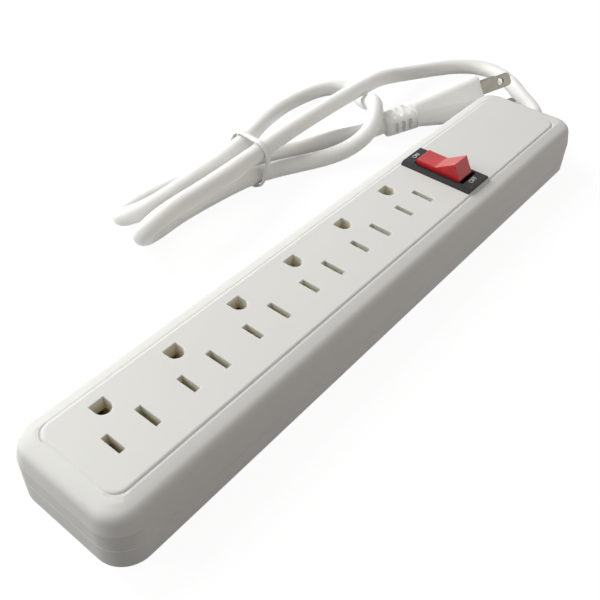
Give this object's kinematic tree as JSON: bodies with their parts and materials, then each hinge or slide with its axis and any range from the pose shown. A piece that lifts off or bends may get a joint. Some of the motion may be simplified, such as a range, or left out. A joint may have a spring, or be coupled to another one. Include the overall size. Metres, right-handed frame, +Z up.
{
  "type": "power strip",
  "caption": "Long white power strip with a row of grounded outlets, a red rocker switch in a black bezel, and a folded, tied cord that ends in a three-pin plug.",
  "frame": {"origin": "middle of the underside of the case", "axes": "+X along the case towards the cord end, +Y towards the earth holes, +Z up out of the outlet face"},
  "size_m": [0.324, 0.1301, 0.0306],
  "materials": {
    "case": "satin moulded plastic",
    "screw": "plated",
    "contact": "stamped",
    "switch_black": "satin",
    "switch_red": "gloss",
    "inner_plastic": "matte",
    "steel": "plain",
    "wire_black": "matte",
    "wire_white": "matte",
    "wire_green": "matte",
    "cord": "satin vinyl",
    "tie": "satin",
    "plug": "satin vinyl",
    "pin_metal": "plated"
  },
  "bodies": {
    "case": {"top_housing": "case", "base_cover": "case", "case_screws": "screw", "line_bus": "contact", "neutral_bus": "contact", "ground_bus": "contact", "switch_housing": "switch_black", "line_terminal": "contact", "load_terminal": "contact", "line_wire": "wire_black", "load_wire": "wire_black", "neutral_wire": "wire_white", "ground_wire": "wire_green", "cord_gland": "cord", "power_cord": "cord", "cord_tie": "tie", "plug_body": "plug", "plug_line_blade": "pin_metal", "plug_neutral_blade": "pin_metal", "plug_ground_pin": "pin_metal"},
    "rocker": {"rocker": "switch_red", "rocker_plunger": "inner_plastic", "plunger_spring": "steel"},
    "lever": {"contact_lever": "contact"}
  },
  "joints": [
    {"name": "rocker_tilt", "type": "hinge", "parent": "case", "child": "rocker", "pos_m": [0.0584, 0, 0.02], "axis": [1, 0, 0], "range_deg": [0, 30]},
    {"name": "lever_tilt", "type": "hinge", "parent": "case", "child": "lever", "pos_m": [0.0584, 0, 0.0116], "axis": [1, 0, 0], "range_deg": [-16, 0]}
  ],
  "couplings": [
    {"joint": "lever_tilt", "follows": "rocker_tilt", "ratio": -0.53333}
  ]
}
